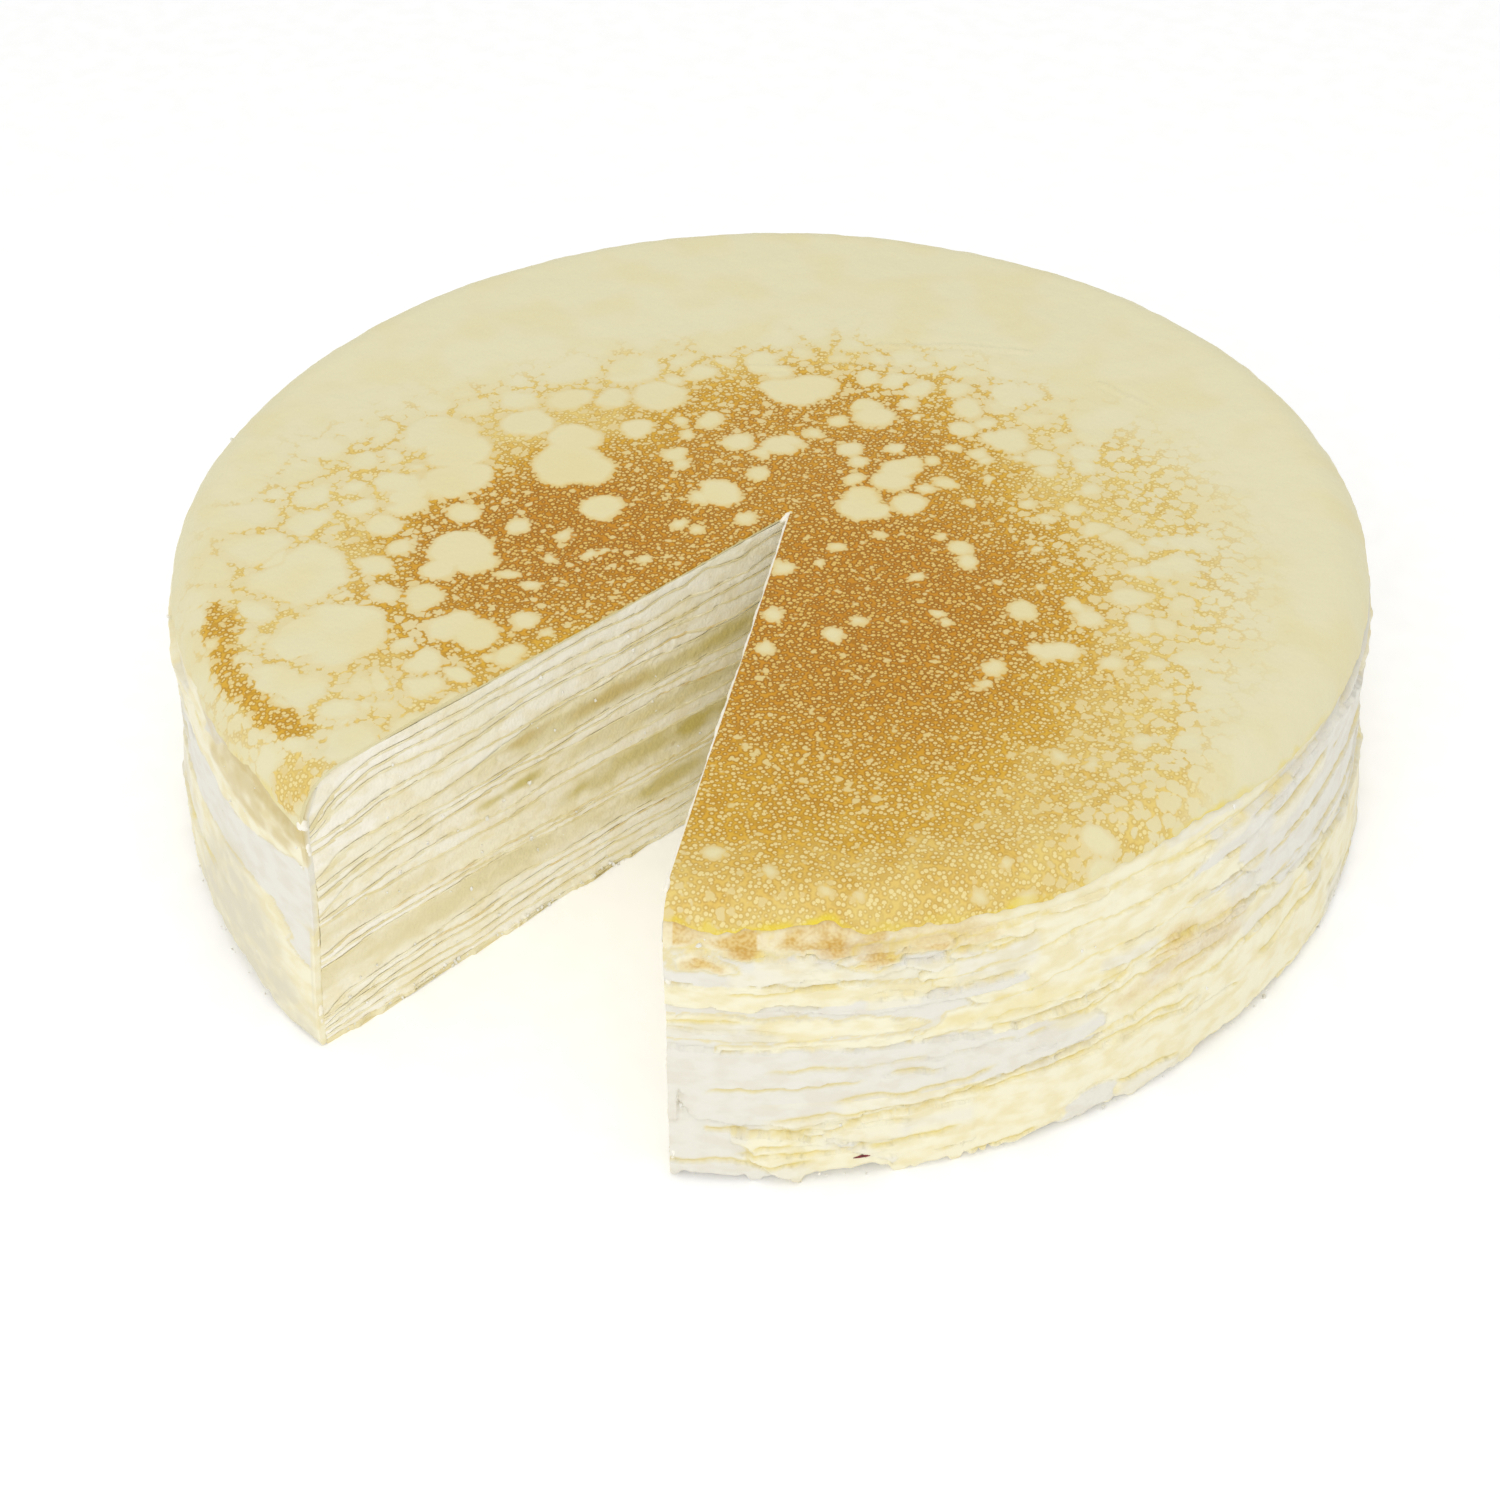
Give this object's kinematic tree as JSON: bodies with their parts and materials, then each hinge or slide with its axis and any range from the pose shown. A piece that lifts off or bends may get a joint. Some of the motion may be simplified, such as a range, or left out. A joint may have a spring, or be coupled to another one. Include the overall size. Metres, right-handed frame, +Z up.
{
  "type": "crepe cake",
  "caption": "Round mille crepe cake with a slice cut out, showing thin crepes stacked with cream and fruit custard under a browned top crepe, for serving in slices.",
  "frame": {"origin": "on the underside of the cake, on the axis of its round outline", "axes": "+Z up through the layers, -Y out through the middle of the missing slice"},
  "size_m": [0.218, 0.2146, 0.0555],
  "materials": {
    "top_crepe": "browned crepe skin, matt with a faint butter sheen",
    "crepe": "pale yellow crepe, soft and matt",
    "cream": "whipped cream, soft satin",
    "fruit": "grainy fruit custard, moist"
  },
  "bodies": {
    "root": {"top_crepe": "top_crepe", "cream_01": "cream", "crepe_01": "crepe", "cream_02": "cream", "crepe_02": "crepe", "cream_03": "cream", "crepe_03": "crepe", "cream_04": "cream", "crepe_04": "crepe", "cream_05": "cream", "crepe_05": "crepe", "cream_06": "cream", "crepe_06": "crepe", "fruit_07": "fruit", "crepe_07": "crepe", "cream_08": "cream", "crepe_08": "crepe", "cream_09": "cream", "crepe_09": "crepe", "fruit_10": "fruit", "crepe_10": "crepe", "cream_11": "cream", "crepe_11": "crepe", "fruit_12": "fruit", "crepe_12": "crepe", "cream_13": "cream", "crepe_13": "crepe", "cream_14": "cream", "crepe_14": "crepe", "fruit_15": "fruit", "crepe_15": "crepe", "cream_16": "cream", "crepe_16": "crepe", "cream_17": "cream", "crepe_17": "crepe", "cream_18": "cream", "crepe_18": "crepe", "cream_19": "cream", "crepe_19": "crepe", "cream_20": "cream", "crepe_20": "crepe"}
  },
  "joints": []
}
